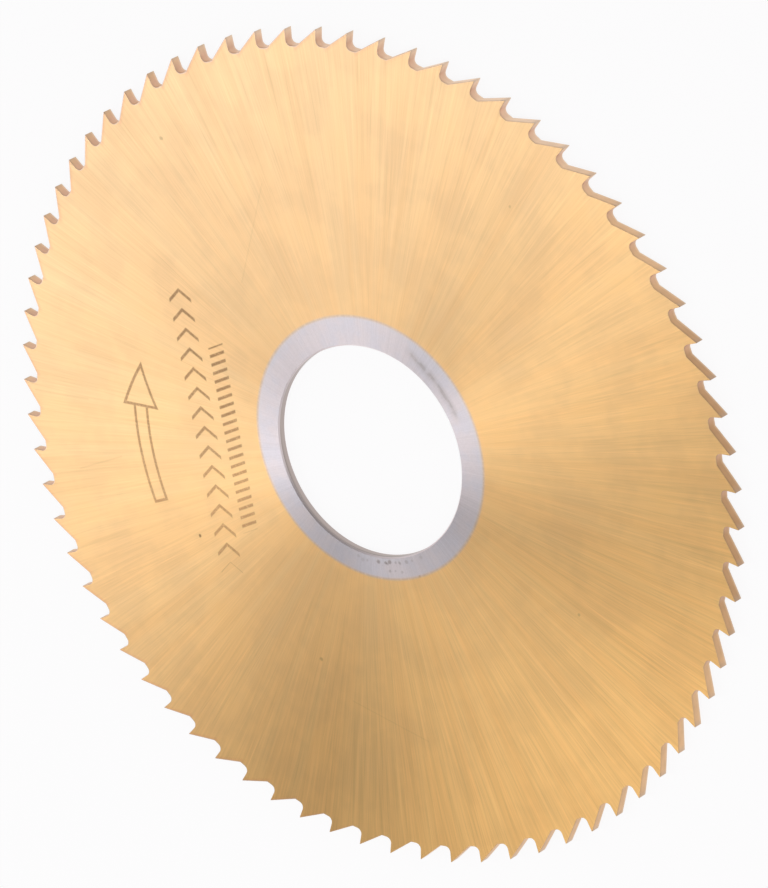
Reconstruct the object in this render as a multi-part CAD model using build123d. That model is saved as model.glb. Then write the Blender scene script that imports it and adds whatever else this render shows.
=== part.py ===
# Metal slitting saw: a thin steel disc with a plain bore and fine, unset ratchet teeth.
# Its sides are ground slightly hollow, so only the tooth tips have the full width.
# Millimetres and degrees. It lies flat on its tooth tips, with the marked face up.
# The origin is on the bore's axis, in the plane that the blade lies on, and +Z is up.
import os
from build123d import *
from math import asin, degrees, radians, sin

# Disc
outside_diameter = 63.0     # over the tooth tips
rim_thickness = 0.8         # at the tooth tips, the width of the slot it cuts
hub_diameter = 32.0         # the flat zone that the arbor's flanges clamp
hub_thickness = 0.72        # thinner than the rim, so that the sides clear the slot
bore_diameter = 16.0
bore_chamfer = 0.1          # 45 degrees, on both ends of the bore

# Teeth
tooth_count = 72
tooth_depth = 1.31          # from a tip to the lowest part of the gullet
rake_angle = 8.0            # how far the cutting face leans back from the radius
gullet_floor_width = 0.86   # along the root circle, from the cutting face to the heel
gullet_floor_lift = 0.07    # how much higher the floor is at the face than at the heel
gullet_radius = 0.4         # in the corner under the cutting face
heel_radius = 0.15          # where the tooth's straight back meets the floor

# Stock beyond the tips that the tooth outline trims away
blank_allowance = 1.0

outside_radius = outside_diameter / 2
hub_radius = hub_diameter / 2
bore_radius = bore_diameter / 2
root_radius = outside_radius - tooth_depth
pitch_angle = 360 / tooth_count
mid_height = rim_thickness / 2


def polar_point(radius, angle):
    """A point of the XY plane at this radius and angle."""
    return Vector(radius, 0, 0).rotate(Axis.Z, angle)


def face_lag(radius):
    """Angle by which the raked cutting face trails its own tip where it crosses a radius."""
    return degrees(asin(outside_radius * sin(radians(rake_angle)) / radius)) - rake_angle


def tooth_line():
    """One pitch of the outline: down a tooth's back, across the gullet and up the next face.

    The tips lead clockwise seen from above, so the outline runs anticlockwise from a tip.
    """
    heel_angle = pitch_angle + face_lag(root_radius) - degrees(gullet_floor_width / root_radius)
    corner_radius = root_radius + gullet_floor_lift
    this_tip = polar_point(outside_radius, 0)
    heel = polar_point(root_radius, heel_angle)
    corner = polar_point(corner_radius, pitch_angle + face_lag(corner_radius))
    next_tip = polar_point(outside_radius, pitch_angle)
    return FilletPolyline(this_tip, heel, corner, next_tip, radius=[heel_radius, gullet_radius])


def toothed_outline():
    """The closed outline of all the teeth, as a face."""
    line = tooth_line()
    edges = [edge for place in PolarLocations(0, tooth_count) for edge in (place * line).edges()]
    return make_face(edges)


def blank_section():
    """Half of the hollow-ground disc's section, from the axis to beyond the tips."""
    hub_half = hub_thickness / 2
    taper = (mid_height - hub_half) / (outside_radius - hub_radius)
    edge_half = mid_height + taper * blank_allowance
    edge_radius = outside_radius + blank_allowance
    upper = [(0, hub_half), (hub_radius, hub_half), (edge_radius, edge_half)]
    lower = [(radius, -height) for radius, height in reversed(upper)]
    heights = [(radius, mid_height + height) for radius, height in upper + lower]
    return Plane.XZ * make_face(Polyline(*heights, close=True))


def saw_blade():
    """The hollow-ground disc, trimmed to the tooth outline and bored for its arbor."""
    blank = revolve(blank_section(), Axis.Z)
    through = rim_thickness + 2 * blank_allowance
    low = Location((0, 0, -blank_allowance))
    toothed = blank & (low * extrude(toothed_outline(), through))
    bore = low * Cylinder(bore_radius, through, align=(Align.CENTER, Align.CENTER, Align.MIN))
    bored = toothed - bore
    rims = bored.edges().filter_by(GeomType.CIRCLE)
    bore_rims = [rim for rim in rims if abs(rim.radius - bore_radius) < bore_chamfer / 10]
    return chamfer(bore_rims, bore_chamfer)


blade = saw_blade()
blade.label = "saw_blade"
os.makedirs("parts", exist_ok=True)
export_step(blade, "parts/saw_blade.step")
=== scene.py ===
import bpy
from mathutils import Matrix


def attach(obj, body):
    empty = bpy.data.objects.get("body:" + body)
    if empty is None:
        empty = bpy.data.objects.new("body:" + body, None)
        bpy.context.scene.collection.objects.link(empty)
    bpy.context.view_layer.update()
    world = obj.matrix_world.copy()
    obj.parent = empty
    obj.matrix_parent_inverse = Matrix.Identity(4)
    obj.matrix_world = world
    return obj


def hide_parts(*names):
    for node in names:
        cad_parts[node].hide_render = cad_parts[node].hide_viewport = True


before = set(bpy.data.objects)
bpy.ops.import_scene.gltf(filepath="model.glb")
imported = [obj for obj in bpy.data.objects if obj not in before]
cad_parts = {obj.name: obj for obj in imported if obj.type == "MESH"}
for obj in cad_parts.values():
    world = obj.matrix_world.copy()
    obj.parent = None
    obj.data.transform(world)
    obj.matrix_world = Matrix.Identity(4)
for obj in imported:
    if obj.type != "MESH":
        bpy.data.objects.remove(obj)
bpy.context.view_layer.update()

# A gold-coated metal slitting saw, lying on its tooth tips with the marked face up.
# Sizes are in millimetres and angles in degrees, unless a note gives another unit.
from types import SimpleNamespace
import bpy
import numpy as np
from mathutils import Matrix, Vector

mm = 0.001


# Shader expressions
class Wire:
    # One output socket. Arithmetic on wires adds the Math nodes that work it out.
    def __init__(self, tree, socket):
        self.tree = tree
        self.socket = socket

    def node(self, kind, settings, inputs, output=0):
        # Adds a node, gives it its settings, then the values or links of its sockets.
        made = self.tree.nodes.new(kind)
        for name, value in settings.items():
            setattr(made, name, value)
        for key, value in inputs.items():
            if isinstance(value, Wire):
                self.tree.links.new(value.socket, made.inputs[key])
            else:
                made.inputs[key].default_value = value
        return Wire(self.tree, made.outputs[output])

    def maths(self, operation, *values):
        return self.node("ShaderNodeMath", {"operation": operation}, dict(enumerate(values)))

    def __add__(self, other):
        return self.maths("ADD", self, other)

    def __radd__(self, other):
        return self.maths("ADD", other, self)

    def __sub__(self, other):
        return self.maths("SUBTRACT", self, other)

    def __rsub__(self, other):
        return self.maths("SUBTRACT", other, self)

    def __mul__(self, other):
        return self.maths("MULTIPLY", self, other)

    def __rmul__(self, other):
        return self.maths("MULTIPLY", other, self)

    def __truediv__(self, other):
        return self.maths("DIVIDE", self, other)

    def ramp(self, start, end, low=0.0, high=1.0):
        # Smoothly from low to high as the value goes from start to end, and level beyond.
        limits = {1: start, 2: end, 3: low, 4: high}
        return self.node("ShaderNodeMapRange", {"interpolation_type": "SMOOTHSTEP"}, {0: self, **limits})


def lowest(first, *others):
    for other in others:
        first = first.maths("MINIMUM", first, other)
    return first


def highest(first, *others):
    for other in others:
        first = first.maths("MAXIMUM", first, other)
    return first


def mixColour(factor, under, over, blend="MIX"):
    # Colours go from under to over as the factor goes from 0 to 1.
    settings = {"data_type": "RGBA", "blend_type": blend}
    return factor.node("ShaderNodeMix", settings, {0: factor, 6: under, 7: over}, output=2)


def newMaterial(name):
    # An empty material, and a wire that carries the Object coordinates in it.
    material = bpy.data.materials.new(name)
    material.use_nodes = True
    tree = material.node_tree
    tree.nodes.clear()
    coordinates = tree.nodes.new("ShaderNodeTexCoord")
    return material, Wire(tree, coordinates.outputs["Object"])


def showSurface(shader):
    last = shader.tree.nodes.new("ShaderNodeOutputMaterial")
    shader.tree.links.new(shader.socket, last.inputs["Surface"])


def splitUp(vector):
    # The x, y and z of a vector.
    parts = vector.tree.nodes.new("ShaderNodeSeparateXYZ")
    vector.tree.links.new(vector.socket, parts.inputs[0])
    return [Wire(vector.tree, output) for output in parts.outputs]


# Blade shape
blade = {
    "outsideRadius": 31.5,      # over the tooth tips
    "rimThickness": 0.8,        # at the tooth tips
    "hubThickness": 0.72,       # the sides are ground hollow, down to this
    "hubRadius": 16.0,
    "hubBlend": 2.5,            # how gently the flat hub turns into the hollow side
    "boreRadius": 8.0,
    "boreChamfer": 0.1,
    "toothCount": 72,
    "toothDepth": 1.31,
    "rakeAngle": 8.0,           # how far the cutting face leans back
    "floorWidth": 0.86,         # of the gullet, along the root circle
    "floorLift": 0.07,          # the floor rises towards the cutting face
    "gulletRadius": 0.4,
    "heelRadius": 0.15,
    "noseRadius": 0.03,         # of the tip, seen from above
    "edgeBreak": 0.02,          # 45 degree break along every edge of the teeth
    "arcSteps": (5, 3, 6),      # of the tip, the heel and the corner under the face
    "cornerBackShare": 0.6,     # how much of the back's finish the corner starts with
    "backPoints": 2,            # along the tooth's straight back
    "footRadius": 29.8,         # circle under the teeth where the plain rings end
    "footLead": 1.0,            # degrees by which that circle's points trail behind a tip
    "footTrail": 0.1,           # and behind the end of the corner
    "ringSpacing": 1.0,         # between the plain rings
    "toothRows": (0.4, 0.75),   # rows of points from the foot circle out to the edge
    "wallRows": 3,
    "sharpAngle": 34.0,         # faces that meet at more than this keep a sharp edge
}


def onCircle(radius, degreesRound):
    # Points (radius * cosine, radius * sine) of the angle.
    turn = np.radians(degreesRound)
    return np.stack([radius * np.cos(turn), radius * np.sin(turn)], -1)


def faceLag(radius, shape):
    # Degrees by which the cutting face trails its own tip at this radius.
    lean = shape["outsideRadius"] * np.sin(np.radians(shape["rakeAngle"])) / radius
    return np.degrees(np.arcsin(lean)) - shape["rakeAngle"]


def roundedCorner(before, corner, after, radius, steps):
    # An arc that touches both straight sides, and its outward normals. It starts a tangent
    # length, radius / tan(half the corner's angle), before the corner, and turns about the
    # centre, which lies on the bisector at radius / sin(half the corner's angle).
    back = (before - corner) / np.linalg.norm(before - corner)
    ahead = (after - corner) / np.linalg.norm(after - corner)
    half = np.arccos(np.dot(back, ahead)) / 2
    bisector = (back + ahead) / np.linalg.norm(back + ahead)
    centre = corner + bisector * radius / np.sin(half)
    start = corner + back * radius / np.tan(half) - centre
    # the outline runs anticlockwise, so a left turn is an outer corner
    side = np.sign(ahead[0] * back[1] - ahead[1] * back[0])
    turn = side * np.linspace(0, np.pi - 2 * half, steps + 1)
    spin = np.stack([np.cos(turn), -np.sin(turn), np.sin(turn), np.cos(turn)], -1).reshape(-1, 2, 2)
    arm = spin @ start
    return centre + arm, side * arm / radius


def pitchOutline(shape):
    # One tooth pitch, from a tip down its back and across the gullet to the next cutting face:
    # points on straight lines and arcs, their outward normals, the angles of the points under
    # them on the foot circle, and how much of a tooth's back each one is.
    pitch = 360 / shape["toothCount"]
    root = shape["outsideRadius"] - shape["toothDepth"]
    lifted = root + shape["floorLift"]
    heelTurn = pitch + faceLag(root, shape) - np.degrees(shape["floorWidth"] / root)
    cornerTurn = pitch + faceLag(lifted, shape)
    tip = onCircle(shape["outsideRadius"], 0)
    heel = onCircle(root, heelTurn)
    corner = onCircle(lifted, cornerTurn)
    nextTip = onCircle(shape["outsideRadius"], pitch)
    lastCorner = onCircle(lifted, cornerTurn - pitch)
    tipSteps, heelSteps, cornerSteps = shape["arcSteps"]
    tipArc = roundedCorner(lastCorner, tip, heel, shape["noseRadius"], tipSteps)
    heelArc = roundedCorner(tip, heel, corner, shape["heelRadius"], heelSteps)
    cornerArc = roundedCorner(heel, corner, nextTip, shape["gulletRadius"], cornerSteps)
    share = np.linspace(0, 1, shape["backPoints"] + 2)[1:-1, None]
    back = tipArc[0][-1] * (1 - share) + heelArc[0][0] * share
    backNormals = np.repeat(tipArc[1][-1:], len(share), 0)
    points = np.concatenate([tipArc[0], back, heelArc[0], cornerArc[0]])
    normals = np.concatenate([tipArc[1], backNormals, heelArc[1], cornerArc[1]])
    # one along the back and round the heel, falling to nothing at the cutting face
    onBack = np.ones(len(points))
    onBack[-len(cornerArc[0]):] = np.linspace(shape["cornerBackShare"], 0, len(cornerArc[0]))
    # the foot circle's points are spread in step with the length along the outline
    length = np.concatenate([[0], np.cumsum(np.linalg.norm(np.diff(points, axis=0), axis=1))])
    heelStart = tipSteps + shape["backPoints"] + 1
    cornerEnd = len(points) - 1
    stations = [0, length[heelStart], length[cornerEnd]]
    turns = [shape["footLead"], heelTurn, cornerTurn + shape["footTrail"]]
    feet = np.interp(length, stations, turns)
    return points, normals, feet, onBack


def turned(points, angles):
    # Every point turned by every angle, one after the other round the blade.
    turn = np.radians(angles)
    spin = np.stack([np.cos(turn), -np.sin(turn), np.sin(turn), np.cos(turn)], -1).reshape(-1, 2, 2)
    return np.einsum("kij,nj->kni", spin, points).reshape(-1, 2)


def faceHeight(radius, shape):
    # Height of the upper face: flat on the hub, then straight up to the tips, with a soft
    # turn of b * ln(1 + e^(distance / b)) between them.
    hub = shape["hubThickness"] / 2
    rim = shape["rimThickness"] / 2
    blend = shape["hubBlend"]
    beyond = blend * np.logaddexp(0, (radius - shape["hubRadius"]) / blend)
    return rim + hub + (rim - hub) * beyond / (shape["outsideRadius"] - shape["hubRadius"])


def bladeGrid(shape):
    # A closed grid. Its columns go round the outline. Its rows go out along the upper face,
    # over the edge, down the tooth's wall, in along the lower face and up the bore. Between
    # the foot circle and the edge a row lies at foot * (1 - share) + edge * share.
    points, normals, feet, onBack = pitchOutline(shape)
    angles = np.arange(shape["toothCount"]) * 360 / shape["toothCount"]
    outline = turned(points, angles)
    outward = turned(normals, angles)
    feetTurn = (angles[:, None] + feet).ravel()
    backShare = np.tile(onBack, shape["toothCount"])
    edge = shape["edgeBreak"]
    inset = outline - outward * edge
    foot = onCircle(shape["footRadius"], feetTurn)
    chamfered = shape["boreRadius"] + shape["boreChamfer"]
    rings = np.arange(chamfered, shape["footRadius"] - shape["ringSpacing"] / 2, shape["ringSpacing"])
    upper = [onCircle(radius, feetTurn) for radius in rings]
    upper += [foot] + [foot * (1 - share) + inset * share for share in shape["toothRows"]] + [inset]
    upper = np.stack(upper)
    upperHeight = faceHeight(np.linalg.norm(upper, axis=-1), shape)
    middle = shape["rimThickness"] / 2
    rimTop = faceHeight(np.linalg.norm(outline, axis=-1), shape) - edge
    wallShares = np.linspace(1, -1, shape["wallRows"] + 1)[:, None]
    wallHeight = middle + (rimTop - middle) * wallShares
    wall = np.repeat(outline[None], len(wallShares), 0)
    bore = onCircle(shape["boreRadius"], feetTurn)
    boreTop = shape["hubThickness"] / 2 - shape["boreChamfer"]
    boreHeight = middle + boreTop * -wallShares
    boreHeight = np.broadcast_to(boreHeight, wallHeight.shape)
    boreWall = np.repeat(bore[None], len(wallShares), 0)
    lowerHeight = 2 * middle - upperHeight[::-1]
    plan = np.concatenate([upper, wall, upper[::-1], boreWall])
    height = np.concatenate([upperHeight, wallHeight, lowerHeight, boreHeight])
    grid = np.concatenate([plan, height[..., None]], -1)
    # how far each point is from the teeth's edges, for the wear along them
    reach = np.linalg.norm(upper - outline, axis=-1)
    onWall = (rimTop - middle) * (1 - np.abs(wallShares))
    deep = np.full(boreWall.shape[:2], reach.max())
    edgeDistance = np.concatenate([reach, onWall, reach[::-1], deep])
    return grid, edgeDistance, np.broadcast_to(backShare, height.shape)


def closedGridMesh(name, grid, sharpAngle):
    # Quads over a grid that joins up with itself both ways.
    rows, columns = grid.shape[:2]
    index = np.arange(rows * columns).reshape(rows, columns)
    nextRow = np.roll(index, -1, axis=0)
    nextColumn = np.roll(index, -1, axis=1)
    corner = np.roll(nextRow, -1, axis=1)
    quads = np.stack([index, nextRow, corner, nextColumn], -1).reshape(-1, 4)
    mesh = bpy.data.meshes.new(name)
    mesh.from_pydata((grid * mm).reshape(-1, 3).tolist(), [], quads.tolist())
    mesh.polygons.foreach_set("use_smooth", np.ones(len(quads), dtype=bool))
    mesh.set_sharp_from_angle(angle=np.radians(sharpAngle))
    return mesh


def pointValues(mesh, name, values):
    # Keeps one number for each point, which a material can read by this name.
    attribute = mesh.attributes.new(name, "FLOAT", "POINT")
    attribute.data.foreach_set("value", np.ravel(values).astype(np.float32))


bladeGridPoints, edgeDistance, backShare = bladeGrid(blade)
bladeMesh = closedGridMesh("ground_blade", bladeGridPoints, blade["sharpAngle"])
pointValues(bladeMesh, "edgeDistance", edgeDistance)
pointValues(bladeMesh, "toothBack", backShare)
bladeObject = bpy.data.objects.new("ground_blade", bladeMesh)
bpy.context.scene.collection.objects.link(bladeObject)
print("blade:", len(bladeMesh.polygons), "quads")


# Blade finish
finish = {
    # coated faces. Noises are given by their scale, detail and roughness.
    "goldHighlightPale": (0.84, 0.577, 0.327),      # towards +X, paler there as a painted highlight tint
    "goldDeep": (0.935, 0.565, 0.216),     # towards -X
    "goldHighlightDrift": (-34, 34, 20),            # from and to x, and how far the patches pull it
    "patchNoise": (0.22, 3.0, 0.6),
    "patchLimits": (0.40, 0.62),           # noise values between which a patch fades in
    "goldDull": 0.94,                      # how bright the faint patches are
    "tint": (14, 30, 0.03, 500.0),         # broad marks that turn the gold a little pinker
    "tintLimits": (0.38, 0.62),
    "tintColour": (1.0, 0.975, 0.955),
    "grainNoise": (7.0, 2.0, 0.6),
    # small marks: place x, y, radius and strength
    "specks": ((1.28, 18.42, 0.16, 0.8), (27.07, 1.96, 0.22, 0.35), (-10.99, 14.21, 0.2, 0.35),
               (-17.6, -9.3, 0.15, 0.3), (9.4, -22.8, 0.14, 0.25)),
    "unevenNoise": (2.5, 1.0, 0.5),        # pulls the small marks out of shape
    "unevenness": 0.2,
    "sideBlend": 0.01,                     # height over which the lower side becomes the upper
    # fine scratches: from x, y to x, y, half their width and strength
    "hairlines": ((16.9, 25.3, 14.2, 21.2, 0.07, 0.10), (10.2, 25.4, 9.3, 21.2, 0.06, 0.10),
                  (20.3, -4.1, 15.2, 2.3, 0.05, 0.07), (-20.1, 9.2, -14.8, 13.6, 0.05, 0.08)),
    "hairlineFade": (1.6, 0.4),            # half widths between which a scratch fades in
    "dirtStrength": 0.8,
    # grinding marks: how many go round, their length, their slant and how strong they are
    "grinding": ((24, 12, 0.05, 0.045), (60, 12, 0.03, 0.08), (130, 10, -0.04, 0.11),
                 (240, 10, 0.03, 0.10), (260, 9, -0.04, 0.09)),
    "grindingGap": 40.0,                   # between the layers, along the noise
    "reliefLayer": 1,                      # the layer that can be felt
    "bumpHeight": 0.00015,
    "scratches": (170, 12, 0.04, 300.0),   # fewer, sharper and longer
    "scratchStrength": 0.04,
    "brightScratch": (0.66, 0.74),         # noise values at which a scratch is bright, or dark
    "darkScratch": (0.34, 0.26),
    # the marks are stronger towards the rim, and for some way round as a painted glint: azimuth, turns,
    # share
    "markGrowth": (12, 27, 0.95, 1.4),     # from and to radius, from and to strength
    "glintMarks": (182, 0.17, 0.06, 0.45),
    # bare steel ring
    "ringRadius": 9.95,
    "ringCentre": (0.22, -0.19),
    "ringSoftness": 0.20,
    "ringSeam": (0.16, 0.14),              # half its width and how dark it is
    "seamLimits": (0.3, 0.6),
    "steel": (0.69, 0.62, 0.64),
    "steelCool": (0.65, 0.61, 0.655),
    "coolNoise": (0.6, 2.0, 0.5),
    "coolLimits": (0.35, 0.65),
    "steelWorn": (0.34, 0.29, 0.28),
    "steelGrain": (0.3, 0.7, 0.0, 0.08),   # from and to noise value, from and to share
    # painted shade: darker stretches of the ring: azimuth, turns where they fade and where they keep, how
    # much
    "steelPaintedShade": ((110, 0.11, 0.03, 0.14), (192, 0.10, 0.03, 0.10)),
    # a scuff: from and to azimuth, the azimuth where its radius is least, that radius and how
    # it rises away from there; then half its width and that of its smear, and their strengths
    "scuff": (-101, -56, -92, 8.84, 1.0),
    "scuffWidths": (0.24, 0.50),
    "dragNoise": (1.5, 2.0, 0.5),
    "scuffLine": (0.38, 0.62, 0.2, 0.6),
    "scuffSmear": (0.3, 0.6, 0.1, 0.25),
    "cloudNoise": (2.6, 3.0, 0.7),
    "cloudSmudge": (0.60, 0.80, 0.0, 0.15),
    # specks of dirt: place x, y, radius and strength
    "ringSpecks": ((-5.96, 5.95, 0.18, 0.3), (-6.37, 5.75, 0.22, 0.3), (-7.08, 4.59, 0.23, 0.8),
                   (-7.42, 4.02, 0.16, 0.75), (-7.53, 3.67, 0.22, 0.8), (-7.93, 2.88, 0.20, 0.6),
                   (-8.10, 2.28, 0.17, 0.45), (-8.33, 0.85, 0.24, 0.3), (-8.08, 4.06, 0.17, 0.5),
                   (-8.59, 3.11, 0.14, 0.35), (-9.51, 1.84, 0.16, 0.6), (-6.56, 5.45, 0.13, 0.3),
                   (-7.56, 3.93, 0.14, 0.5), (-7.78, 3.19, 0.15, 0.45), (-8.25, 1.75, 0.15, 0.35),
                   (-7.44, 4.42, 0.12, 0.3), (-8.28, 3.58, 0.14, 0.3)),
    # walls of the teeth: the coating's tone, darkened as painted shade, most in the gullets
    "rimWallDepths": (0.003, 0.022),       # depth below the faces at which the walls start
    "rimWallRadii": (20, 21),              # and the radii beyond which they lie
    "gulletWallShaded": (0.70, 0.43, 0.29),
    "backWallShaded": (0.735, 0.47, 0.262),
    # painted shade and a painted highlight on the backs round the rim: tone, azimuth, turns where it fades
    # and where it keeps
    "backPaintedShade": ((0.53, 0.313, 0.162), 242, 0.088, 0.03),
    "backPaintedHighlight": ((0.86, 0.62, 0.43), 320, 0.115, 0.06),
    "mottleNoise": (1.3, 2.0, 0.5),
    "mottle": (0.3, 0.85),                 # its contrast and the least it leaves
    "wallTopShade": (0.3, 0.88),                # painted shade: from this depth up, the walls darken to this
    "wallFootLight": ((0.95, 0.80, 0.62), 0.3, 0.0, 0.3),  # painted light, paler towards the bottom: tone, from and to height, share
    "tipWear": ((0.44, 0.37, 0.32), 31.15, 31.5, 0.4),  # tone, from and to radius, share
    # worn edges of the teeth
    "wornEdge": (0.66, 0.55, 0.52),
    "wornReach": (0.13, 0.02),             # distances from the edge where wear starts and is full
    "wornShares": (0.12, 0.48),            # all round, and more for a stretch of the rim
    "wornStretch": (45, 0.30, 0.18),       # azimuth, and turns where it fades and where it keeps
    "burr": ((0.97, 0.88, 0.93), 0.5, 0.1),  # tone beside the backs there, and how far it reaches
    "burrLimits": (0.7, 1.0),              # how much of a back a place has to be
    # bore
    "boreWallDepths": (0.085, 0.115),
    "boreWallRadii": (9, 8.5),             # the radii within which it lies
    "boreWall": (0.48, 0.41, 0.385),
    "boreWallDark": (0.34, 0.29, 0.27),
    "boreDarkAzimuth": (117, 0.20, 0.11),        # the bore's wall is darker high up round this azimuth: azimuth, and turns where it fades and where it keeps
    "boreDarkHeights": (0.40, 0.64),
    # the chamfers' bare steel, made paler as a painted highlight
    "chamfer": (0.82, 0.72, 0.73),
    "chamferFade": (0.01, -0.02),          # about its outer radius
    # sheen
    "roughness": 0.277,
    "markRoughness": 0.10,                 # how much rougher the darker marks are
    "etchRoughness": 0.15,
    "wallRoughness": 0.38,
    "anisotropy": 0.776,
}
# Etched signs in plain shapes: an arrow for the way the blade turns, and two rows of marks.
etching = {
    "colour": (0.50, 0.44, 0.44),          # of the coating's own colour
    "halfStroke": 0.11,
    "softness": 0.05,
    "strength": 0.85,
    "grain": (0.2, 0.6, 0.55, 1.0),        # from and to noise value, from and to strength
    "arrowAzimuth": 62.0,
    "arrowRadius": 20.6,
    "arrowBody": (-2.4, 5.0, 0.55),        # from, to and half width, along the arc
    "arrowHead": (-5.6, -2.4, 1.45),       # point, base and half width
    "rowSlant": -26.0,                     # direction that the rows run in
    # rows: middle along and across, half length, half height, pitch, lean of their two halves
    "rows": ((1.7, 14.75, 10.6, 1.0, 1.5, 0.8, 0.8), (0.7, 12.3, 7.1, 0.7, 0.65, 0.3, -0.3)),
}
streakNoise = (1.0, 1.0, 0.5)   # scale, detail and roughness
solidShare = 0.3                # of a soft spot's or band's half width, which has full strength
scuffFade = 8.0                 # degrees over which a scuff comes and goes


def paint(colour):
    return (*colour, 1)


def absolute(value):
    return value.maths("ABSOLUTE", value)


def noise(vector, scale, detail, roughness):
    inputs = {"Vector": vector, "Scale": scale, "Detail": detail, "Roughness": roughness}
    return vector.node("ShaderNodeTexNoise", {"noise_dimensions": "3D"}, inputs)


def joined(x, y, z):
    return x.node("ShaderNodeCombineXYZ", {}, {0: x, 1: y, 2: z})


def scaledBy(vector, factor):
    return vector.node("ShaderNodeVectorMath", {"operation": "SCALE"}, {0: vector, "Scale": factor})


def streaks(radius, azimuth, around, length, slant, start):
    # Noise drawn out along lines that cross the radii at a slant: the azimuth is turned by
    # slant * ln(radius), and its cosine and sine keep the pattern whole all the way round.
    turnedAzimuth = azimuth + radius.maths("LOGARITHM", radius, np.e) * slant
    x = azimuth.maths("COSINE", turnedAzimuth) * around
    y = azimuth.maths("SINE", turnedAzimuth) * around
    return noise(joined(x, y, radius / length + start), *streakNoise)


def arcBand(radius, azimuth, start, end, lowAzimuth, lowRadius, rise, halfWidth):
    # A soft-edged stretch of a ring, at radius lowRadius + rise * (turn from lowAzimuth)^2.
    turn = azimuth - np.radians(lowAzimuth)
    across = radius - lowRadius - turn * turn * rise
    band = absolute(across).ramp(halfWidth, halfWidth * solidShare)
    opens = azimuth.ramp(np.radians(start), np.radians(start + scuffFade))
    closes = azimuth.ramp(np.radians(end), np.radians(end - scuffFade))
    return band * opens * closes


def dots(x, y, spots, unevenness):
    # Soft round spots, each pulled out of shape by an uneven value in millimetres.
    mask = 0.0
    for spotX, spotY, spotRadius, strength in spots:
        awayX = x - spotX
        awayY = y - spotY
        away = x.maths("SQRT", awayX * awayX + awayY * awayY) + unevenness
        mask = away.ramp(spotRadius, spotRadius * solidShare) * strength + mask
    return mask


def near(azimuth, middle, fades, keeps):
    # One for azimuths within keeps of the middle and nothing beyond fades, both in turns.
    turn = azimuth - np.radians(middle)
    return azimuth.maths("COSINE", turn).ramp(np.cos(fades * 2 * np.pi), np.cos(keeps * 2 * np.pi))


def distanceToLine(x, y, startX, startY, endX, endY):
    # Distance to a stretch of straight line: the place along it is kept between its ends.
    length = np.hypot(endX - startX, endY - startY)
    alongX = (endX - startX) / length
    alongY = (endY - startY) / length
    along = (x - startX) * alongX + (y - startY) * alongY
    kept = lowest(highest(along, 0.0), length)
    aside = (y - startY) * alongX - (x - startX) * alongY
    beyond = along - kept
    return x.maths("SQRT", aside * aside + beyond * beyond)


def etchMask(at, look):
    # One where a line is etched. Distances are below zero inside a shape: for a box it is the
    # larger of those past its sides, and the arrow's head is bounded by its flanks and base.
    soft = look["softness"]
    thin = look["halfStroke"] + soft
    thick = look["halfStroke"] - soft
    along = (at.azimuth - np.radians(look["arrowAzimuth"])) * look["arrowRadius"]
    across = absolute(at.radius - look["arrowRadius"])
    bodyStart, bodyEnd, bodyHalf = look["arrowBody"]
    point, base, headHalf = look["arrowHead"]
    pastEnd = absolute(along - (bodyStart + bodyEnd) / 2) - (bodyEnd - bodyStart) / 2
    body = highest(pastEnd, across - bodyHalf)
    taper = headHalf / (base - point)
    flank = (across - (along - point) * taper) / np.hypot(1, taper)
    arrow = lowest(body, highest(flank, along - base))
    mask = absolute(arrow).ramp(thin, thick)
    slant = np.radians(look["rowSlant"])
    rowAlong = at.x * np.cos(slant) + at.y * np.sin(slant)
    rowAcross = at.y * np.cos(slant) - at.x * np.sin(slant)
    for middleAlong, middleAcross, halfLength, halfHeight, pitch, lean, otherLean in look["rows"]:
        offset = rowAcross - middleAcross
        leant = highest(offset * lean, offset * -otherLean)
        stroke = rowAlong + leant
        stroke = stroke.maths("PINGPONG", stroke, pitch / 2) / np.hypot(1, lean)
        pastEnd = absolute(rowAlong + leant - middleAlong) - halfLength
        inside = highest(pastEnd, absolute(offset) - halfHeight).ramp(soft, -soft)
        mask = highest(mask, stroke.ramp(thin, thick) * inside)
    return mask * at.grain.ramp(*look["grain"]) * look["strength"]


def bladePlaces(place, look, shape):
    # What the finish depends on: places in millimetres and radians, masks and shared noises.
    at = SimpleNamespace()
    at.point = scaledBy(place, 1 / mm)
    at.x, at.y, at.z = splitUp(at.point)
    at.radius = at.x.maths("SQRT", at.x * at.x + at.y * at.y)
    at.azimuth = at.x.maths("ARCTAN2", at.y, at.x)
    # how deep a point lies below the nearer face, which is nothing on the faces themselves
    middle = shape["rimThickness"] / 2
    hub = shape["hubThickness"] / 2
    slope = (middle - hub) / (shape["outsideRadius"] - shape["hubRadius"])
    half = hub + highest(at.radius - shape["hubRadius"], 0.0) * slope
    depth = half - absolute(at.z - middle)
    at.upperSide = at.z.ramp(middle, middle + look["sideBlend"])
    at.rimWall = depth.ramp(*look["rimWallDepths"]) * at.radius.ramp(*look["rimWallRadii"])
    at.boreSide = depth.ramp(*look["boreWallDepths"]) * at.radius.ramp(*look["boreWallRadii"])
    at.edge = place.node("ShaderNodeAttribute", {"attribute_name": "edgeDistance"}, {}, output=2)
    at.onBack = place.node("ShaderNodeAttribute", {"attribute_name": "toothBack"}, {}, output=2)
    at.grain = noise(at.point, *look["grainNoise"])
    at.cloud = noise(at.point, *look["cloudNoise"])
    at.uneven = (noise(at.point, *look["unevenNoise"]) - 0.5) * look["unevenness"]
    return at


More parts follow.
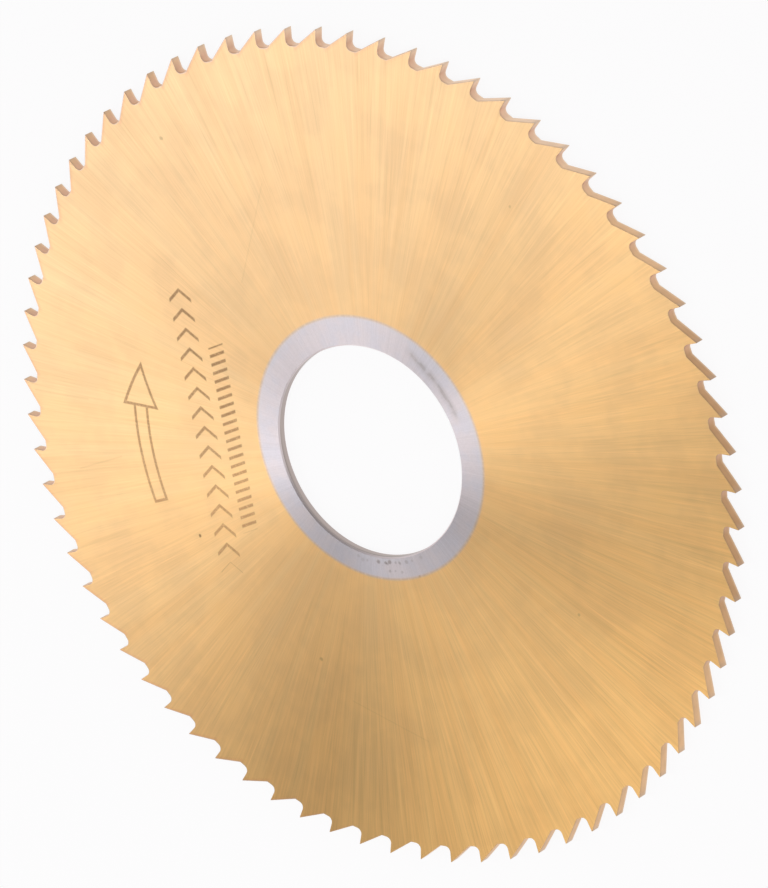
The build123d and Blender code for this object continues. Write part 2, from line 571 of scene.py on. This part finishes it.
def grindingMarks(at, look):
    # How bright the ground surface is, about one, and the relief of the layer that is felt.
    marks = 1.0
    for number, (around, length, slant, strength) in enumerate(look["grinding"]):
        start = number * look["grindingGap"]
        layer = streaks(at.radius, at.azimuth, around, length, slant, start) - 0.5
        marks = layer * strength + marks
        if number == look["reliefLayer"]:
            relief = layer
    scratches = streaks(at.radius, at.azimuth, *look["scratches"])
    scratches = scratches.ramp(*look["brightScratch"]) - scratches.ramp(*look["darkScratch"])
    marks = marks + scratches * look["scratchStrength"]
    # painted glint: the marks are strengthened round one azimuth
    middle, fades, keeps, share = look["glintMarks"]
    glint = near(at.azimuth, middle, fades, keeps) * share + 1.0
    growth = at.radius.ramp(*look["markGrowth"]) * glint
    return (marks - 1.0) * growth + 1.0, relief


def coatedGold(at, marks, etched, look, signs):
    # Paler on one side as a painted highlight tint, streaked by the grinding, with faint patches, small
    # marks and signs.
    patches = noise(at.point, *look["patchNoise"])
    # painted highlight tint: the gold turns paler towards +X
    driftStart, driftEnd, pull = look["goldHighlightDrift"]
    highlightTint = (at.x + patches * pull - pull / 2).ramp(driftStart, driftEnd)
    gold = mixColour(highlightTint, paint(look["goldDeep"]), paint(look["goldHighlightPale"]))
    gold = scaledBy(gold, marks * patches.ramp(*look["patchLimits"], 1.0, look["goldDull"]))
    tinted = streaks(at.radius, at.azimuth, *look["tint"]).ramp(*look["tintLimits"])
    gold = mixColour(tinted, gold, paint(look["tintColour"]), "MULTIPLY")
    dirt = dots(at.x, at.y, look["specks"], at.uneven)
    fadeStart, fadeEnd = look["hairlineFade"]
    for startX, startY, endX, endY, halfWidth, strength in look["hairlines"]:
        away = distanceToLine(at.x, at.y, startX, startY, endX, endY)
        dirt = away.ramp(halfWidth * fadeStart, halfWidth * fadeEnd) * strength + dirt
    gold = mixColour(etched * at.upperSide, gold, paint(signs["colour"]), "MULTIPLY")
    return scaledBy(gold, 1 - dirt * at.upperSide * look["dirtStrength"])


def bareSteel(at, marks, look):
    # Cooler in places, streaked by the grinding, darkened in two stretches as painted shade, with a scuff
    # and specks of dirt.
    cool = noise(at.point, *look["coolNoise"]).ramp(*look["coolLimits"])
    steel = mixColour(cool, paint(look["steel"]), paint(look["steelCool"]))
    steel = mixColour(at.grain.ramp(*look["steelGrain"]), steel, paint(look["steelWorn"]))
    steel = scaledBy(steel, marks)
    # painted shade round two azimuths
    for middle, fades, keeps, share in look["steelPaintedShade"]:
        steel = scaledBy(steel, 1 - near(at.azimuth, middle, fades, keeps) * share)
    lineWidth, smearWidth = look["scuffWidths"]
    drag = noise(at.point, *look["dragNoise"])
    line = arcBand(at.radius, at.azimuth, *look["scuff"], lineWidth) * drag.ramp(*look["scuffLine"])
    smear = arcBand(at.radius, at.azimuth, *look["scuff"], smearWidth) * drag.ramp(*look["scuffSmear"])
    specks = dots(at.x, at.y, look["ringSpecks"], at.uneven)
    smudges = highest(line, smear, specks, at.cloud.ramp(*look["cloudSmudge"])) * at.upperSide
    return mixColour(smudges, steel, paint(look["steelWorn"]))


def wornEdges(colour, at, look):
    # Wear along the teeth's edges, and the soft tone beside their backs.
    stretch = near(at.azimuth, *look["wornStretch"])
    burrTone, burrEnd, burrFull = look["burr"]
    burr = at.edge.ramp(burrEnd, burrFull) * stretch * at.onBack.ramp(*look["burrLimits"])
    colour = mixColour(burr, colour, paint(burrTone), "MULTIPLY")
    wornLittle, wornMore = look["wornShares"]
    worn = at.edge.ramp(*look["wornReach"]) * (stretch * wornMore + wornLittle)
    return mixColour(worn, colour, paint(look["wornEdge"]))


def toothWalls(at, look, shape):
    # Backs and gullets in tones darkened as painted shade, with painted shade and a painted highlight
    # round the rim, worn at the tips, painted shade under the upper edge and painted light at the foot.
    back = paint(look["backWallShaded"])
    # a painted shade round one azimuth and a painted highlight round another
    for tone, middle, fades, keeps in (look["backPaintedShade"], look["backPaintedHighlight"]):
        back = mixColour(near(at.azimuth, middle, fades, keeps), back, paint(tone))
    # the gullets are darker than the backs as painted shade
    walls = mixColour(at.onBack, paint(look["gulletWallShaded"]), back)
    wearTone, wearStart, wearEnd, wearShare = look["tipWear"]
    walls = mixColour(at.radius.ramp(wearStart, wearEnd) * wearShare, walls, paint(wearTone))
    contrast, least = look["mottle"]
    mottled = noise(at.point, *look["mottleNoise"]) * contrast + least
    shadedDepth, shade = look["wallTopShade"]
    top = shape["rimThickness"]
    # painted shade under the upper edge
    walls = scaledBy(walls, mottled * at.z.ramp(top - shadedDepth, top, 1.0, shade))
    footTone, footStart, footEnd, footShare = look["wallFootLight"]
    # painted light towards the bottom of the walls
    return mixColour(at.z.ramp(footStart, footEnd) * footShare, walls, paint(footTone))


def bladeMaterial(look, signs, shape):
    material, place = newMaterial("ground_gold_coating")
    at = bladePlaces(place, look, shape)
    marks, relief = grindingMarks(at, look)
    etched = etchMask(at, signs)

    # gold faces, the bare ring and the darker seam between them
    ringX, ringY = look["ringCentre"]
    fromX = at.x - ringX
    fromY = at.y - ringY
    ringPlace = at.x.maths("SQRT", fromX * fromX + fromY * fromY)
    ring = look["ringRadius"]
    soft = look["ringSoftness"]
    bare = ringPlace.ramp(ring + soft, ring - soft)
    colour = mixColour(bare, coatedGold(at, marks, etched, look, signs), bareSteel(at, marks, look))
    seamHalf, seamShade = look["ringSeam"]
    seam = absolute(ringPlace - ring).ramp(seamHalf, 0.0) * at.cloud.ramp(*look["seamLimits"])
    colour = scaledBy(colour, 1 - seam * seamShade)

    # edges and walls of the teeth, the bore's chamfers and its wall
    colour = wornEdges(colour, at, look)
    colour = mixColour(at.rimWall, colour, toothWalls(at, look, shape))
    # the chamfers are paler, a painted highlight
    chamfered = shape["boreRadius"] + shape["boreChamfer"]
    fadeStart, fadeEnd = look["chamferFade"]
    chamferHighlight = at.radius.ramp(chamfered + fadeStart, chamfered + fadeEnd)
    colour = mixColour(chamferHighlight, colour, paint(look["chamfer"]))
    # the bore's wall is darker high up round one azimuth
    boreDarkening = at.z.ramp(*look["boreDarkHeights"]) * near(at.azimuth, *look["boreDarkAzimuth"])
    boreColour = mixColour(boreDarkening, paint(look["boreWall"]), paint(look["boreWallDark"]))
    colour = mixColour(at.boreSide, colour, boreColour)

    steady = look["roughness"]
    roughness = steady + highest(1.0 - marks, 0.0) * look["markRoughness"]
    roughness = roughness + etched * look["etchRoughness"]
    roughness = roughness + highest(at.rimWall, at.boreSide) * (look["wallRoughness"] - steady)
    bumpInputs = {"Strength": 1.0, "Distance": look["bumpHeight"] * mm, "Height": relief}
    inputs = {
        "Base Color": colour,
        "Metallic": 1.0,
        "Roughness": roughness,
        "Anisotropic": look["anisotropy"],
        "Normal": place.node("ShaderNodeBump", {}, bumpInputs),
    }
    showSurface(place.node("ShaderNodeBsdfPrincipled", {}, inputs))
    return material


bladeMesh.materials.append(bladeMaterial(finish, etching, blade))
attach(bladeObject, "root")
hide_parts("saw_blade")
print("blade finish made")


# Floor
floor = {
    "halfWidth": 1500.0,
    "colour": (0.96, 0.96, 0.96),
    "background": (1, 0.995, 1),
    "backgroundShare": 0.9,     # how much of it the camera and the metal see in place of paper
}


def floorMaterial(look):
    material, place = newMaterial("pale_floor")
    paper = place.node("ShaderNodeBsdfDiffuse", {}, {"Color": paint(look["colour"])})
    white = place.node("ShaderNodeEmission", {}, {"Color": paint(look["background"]), "Strength": 1.0})
    rays = place.tree.nodes.new("ShaderNodeLightPath")
    seen = Wire(place.tree, rays.outputs["Is Camera Ray"])
    mirrored = Wire(place.tree, rays.outputs["Is Glossy Ray"])
    share = highest(seen, mirrored) * look["backgroundShare"]
    showSurface(place.node("ShaderNodeMixShader", {}, {0: share, 1: paper, 2: white}))
    return material


floorMesh = bpy.data.meshes.new("floor")
far = floor["halfWidth"] * mm
floorCorners = [(-far, -far, 0), (far, -far, 0), (far, far, 0), (-far, far, 0)]
floorMesh.from_pydata(floorCorners, [], [(0, 1, 2, 3)])
floorMesh.materials.append(floorMaterial(floor))
floorObject = bpy.data.objects.new("floor", floorMesh)
bpy.context.scene.collection.objects.link(floorObject)


# Light
# The sky is dim overhead and brightens towards the horizon: heights are sines of the elevation.
sky = {
    "colour": (1, 1, 1),
    "overhead": 0.26,
    "horizon": 0.80,
    "heights": (0.58, 0.20),
}
# Soft oval lamps: azimuth, elevation, distance, width, height, turn about the beam, brightness.
lamps = {
    "lamp_right": (69.9, 39.4, 250.9, 151.9, 118.4, 67.6, 0.97),
    "lamp_over": (188.8, 82.2, 259.1, 169.6, 338.9, 80.6, 1.62),
    "lamp_behind": (124.2, 30.3, 411.9, 449.9, 150, 146.3, 0.865),
    "lamp_strip": (55.6, 42.6, 490.2, 397.1, 66.1, -128.9, 3.24),
    "lamp_fill": (218, 36, 420, 420, 300, 0, 0.5),
}


def softLamp(name, azimuth, elevation, distance, width, height, turn, brightness):
    # An oval lamp that faces the blade's middle. Its power is pi * brightness * its area.
    bearing, up, spin = np.radians([azimuth, elevation, turn])
    outward = np.array([np.cos(up) * np.cos(bearing), np.cos(up) * np.sin(bearing), np.sin(up)])
    level = np.cross([0, 0, 1], outward)
    level /= np.linalg.norm(level)
    rise = np.cross(outward, level)
    across = np.cos(spin) * level + np.sin(spin) * rise
    along = np.cross(outward, across)
    light = bpy.data.lights.new(name, "AREA")
    light.shape = "ELLIPSE"
    light.size = width * mm
    light.size_y = height * mm
    area = np.pi * light.size * light.size_y / 4
    light.energy = np.pi * brightness * area
    lamp = bpy.data.objects.new(name, light)
    turnedTo = Matrix([across, along, outward]).transposed().to_4x4()
    lamp.matrix_world = Matrix.Translation(Vector(outward) * distance * mm) @ turnedTo
    lamp.visible_camera = False
    bpy.context.scene.collection.objects.link(lamp)


def softSky(look):
    world = bpy.data.worlds.new("studio")
    world.use_nodes = True
    tree = world.node_tree
    tree.nodes.clear()
    coordinates = tree.nodes.new("ShaderNodeTexCoord")
    height = splitUp(Wire(tree, coordinates.outputs["Generated"]))[2]
    strength = height.ramp(*look["heights"], look["overhead"], look["horizon"])
    light = height.node("ShaderNodeBackground", {}, {"Color": paint(look["colour"]), "Strength": strength})
    last = tree.nodes.new("ShaderNodeOutputWorld")
    tree.links.new(light.socket, last.inputs["Surface"])
    bpy.context.scene.world = world


softSky(sky)
for lampName, settings in lamps.items():
    softLamp(lampName, *settings)
bpy.context.scene.view_settings.view_transform = "Standard"
print("floor and lights made")


# Camera
view = {
    "place": (-13.097, -341.287, 385.698),
    # directions of the camera's own axes
    "right": (-0.50583, -0.63824, -0.58034),
    "up": (0.86226, -0.39388, -0.31838),
    "back": (-0.02538, -0.66145, 0.74956),
    "lens": 291.47,             # millimetres
    "sensor": 36,               # millimetres on the long side
}
lens = bpy.data.cameras.new("camera")
lens.lens = view["lens"]
lens.sensor_width = view["sensor"]
camera = bpy.data.objects.new("camera", lens)
axes = Matrix([view["right"], view["up"], view["back"]]).transposed().to_4x4()
camera.matrix_world = Matrix.Translation(Vector(view["place"]) * mm) @ axes
bpy.context.scene.collection.objects.link(camera)
bpy.context.scene.camera = camera
